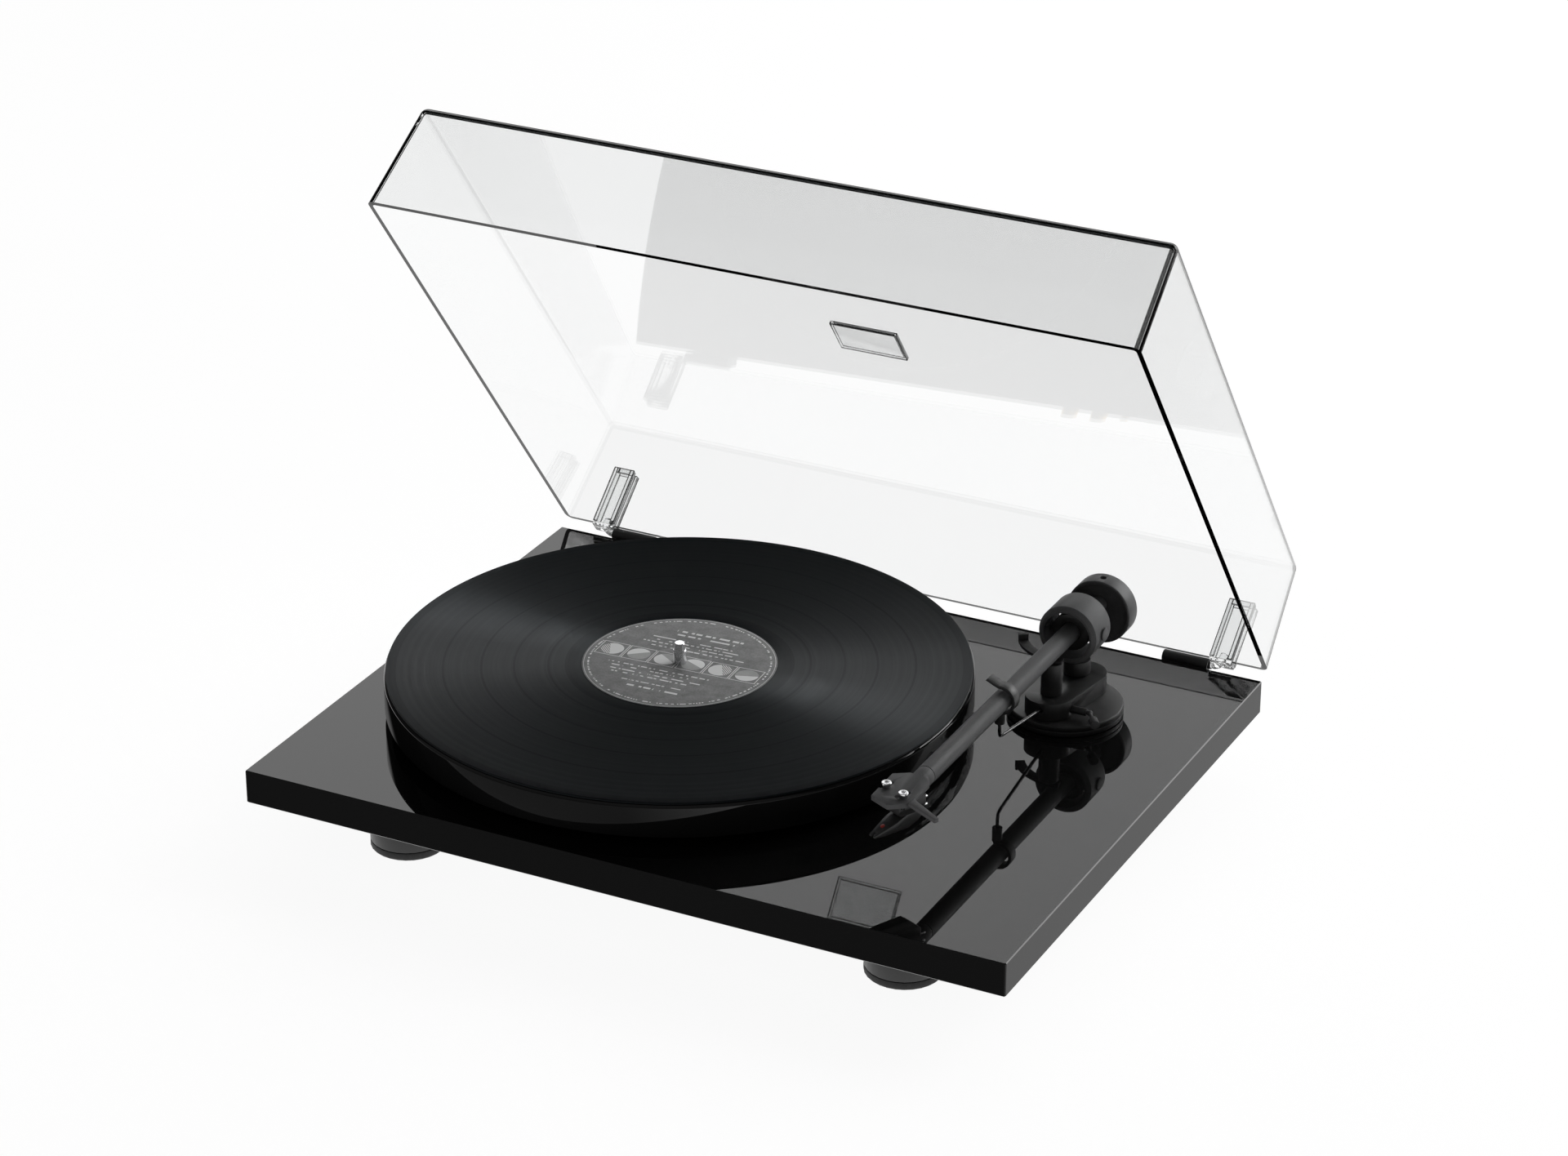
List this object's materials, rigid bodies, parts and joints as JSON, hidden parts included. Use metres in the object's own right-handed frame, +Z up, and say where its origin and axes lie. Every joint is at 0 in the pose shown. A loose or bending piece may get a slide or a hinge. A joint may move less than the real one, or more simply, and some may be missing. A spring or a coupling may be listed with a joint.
{
  "type": "turntable",
  "caption": "Belt-drive record player: gloss black plinth, straight tonearm on its rest, hinged clear dust cover standing open, record on the platter.",
  "frame": {"origin": "on the floor under the middle of the bounding box with the cover open, 26.49 mm behind the middle of the plinth", "axes": "+X to the right seen from the front, -Y towards the front, +Z up; the arm tube lies along Y at rest"},
  "size_m": [0.416, 0.373, 0.3327],
  "materials": {
    "gloss_black": "deep gloss black lacquer",
    "satin_black": "satin black coated metal",
    "rubber_black": "matt black rubber",
    "graphite": "satin dark grey anodised aluminium",
    "dark_steel": "satin dark grey coated steel",
    "bright_steel": "polished bright steel",
    "brass": "turned brass",
    "clear": "clear transparent acrylic",
    "vinyl": "grooved black vinyl",
    "label_paper": "printed grey paper",
    "felt": "dark felt",
    "dark_plastic": "fine textured black plastic",
    "board_green": "green circuit board with parts",
    "stylus_body": "dark red-black plastic with a metal cantilever"
  },
  "bodies": {
    "chassis": {"arm_base": "satin_black", "arm_block": "satin_black", "arm_flange": "satin_black", "arm_pillar": "satin_black", "bearing_ball": "bright_steel", "control_board": "board_green", "drive_belt": "rubber_black", "foot_front_left": "satin_black", "foot_front_right": "satin_black", "foot_pad_front_left": "rubber_black", "foot_pad_front_right": "rubber_black", "foot_pad_rear_left": "rubber_black", "foot_pad_rear_right": "rubber_black", "foot_rear_left": "satin_black", "foot_rear_right": "satin_black", "ground_post": "brass", "hinge_barrel_left": "dark_plastic", "hinge_barrel_right": "dark_plastic", "lever_bush": "dark_plastic", "lift_post": "satin_black", "main_bearing": "brass", "motor": "bright_steel", "motor_mount": "rubber_black", "phono_socket_left": "brass", "phono_socket_right": "brass", "plinth": "gloss_black", "power_inlet": "dark_plastic", "rest_clip": "dark_plastic", "rest_wire": "bright_steel", "switch_housing": "dark_plastic", "terminal_box": "dark_plastic", "underside_cover": "dark_plastic"},
    "platter_assembly": {"platter_spindle": "bright_steel", "sub_platter": "dark_plastic", "platter": "gloss_black", "felt_mat": "felt", "record": "vinyl", "record_label": "label_paper"},
    "pulley": {"motor_pulley": "bright_steel"},
    "arm_yoke": {"bearing_ring": "graphite", "swing_axle": "bright_steel", "pivot_screw_left": "graphite", "pivot_screw_right": "graphite"},
    "arm_wand": {"arm_tube": "graphite", "pivot_carrier": "bright_steel", "weight_stub": "graphite", "headshell": "graphite", "cartridge_screw_left": "bright_steel", "cartridge_screw_right": "bright_steel", "cartridge": "dark_plastic", "stylus_unit": "stylus_body"},
    "weight": {"counterweight": "dark_steel", "weight_screw": "bright_steel"},
    "lift": {"lift_rail": "rubber_black"},
    "lever": {"cue_lever": "bright_steel"},
    "lid": {"dust_cover": "clear", "cover_badge": "clear", "hinge_clip_left": "clear", "hinge_clip_right": "clear"},
    "rocker": {"speed_rocker": "dark_plastic"}
  },
  "joints": [
    {"name": "platter_spin", "type": "hinge", "parent": "chassis", "child": "platter_assembly", "pos_m": [-0.048, -0.02579, 0.06], "axis": [0, 0, 1], "continuous": true},
    {"name": "pulley_spin", "type": "hinge", "parent": "chassis", "child": "pulley", "pos_m": [-0.114, -0.09179, 0.055], "axis": [0, 0, 1], "continuous": true},
    {"name": "arm_swing", "type": "hinge", "parent": "chassis", "child": "arm_yoke", "pos_m": [0.13, 0.07101, 0.07], "axis": [0, 0, 1], "range_deg": [-44, 0]},
    {"name": "arm_tilt", "type": "hinge", "parent": "arm_yoke", "child": "arm_wand", "pos_m": [0.13, 0.06671, 0.086], "axis": [-1, 0, 0], "range_deg": [0, 0.9]},
    {"name": "weight_slide", "type": "slide", "parent": "arm_wand", "child": "weight", "axis": [0, 1, 0], "range_m": [-0.005, 0.004]},
    {"name": "lift_slide", "type": "slide", "parent": "chassis", "child": "lift", "axis": [0, 0, 1], "range_m": [0, 0.0017]},
    {"name": "lever_turn", "type": "hinge", "parent": "chassis", "child": "lever", "pos_m": [0.145, 0.04281, 0.0529], "axis": [-1, 0, 0], "range_deg": [0, 60]},
    {"name": "lid_hinge", "type": "hinge", "parent": "chassis", "child": "lid", "pos_m": [0, 0.13741, 0.0434], "axis": [1, 0, 0], "range_deg": [0, 52.8]},
    {"name": "rocker_turn", "type": "hinge", "parent": "chassis", "child": "rocker", "pos_m": [-0.098, -0.16049, 0.0247], "axis": [1, 0, 0], "range_deg": [-10, 10]}
  ],
  "couplings": [
    {"joint": "pulley_spin", "follows": "platter_spin", "ratio": 7.429},
    {"joint": "lever_turn", "follows": "lift_slide", "rad_per_m": 615.9},
    {"joint": "arm_tilt", "follows": "lift_slide", "rad_per_m": 9.23}
  ]
}
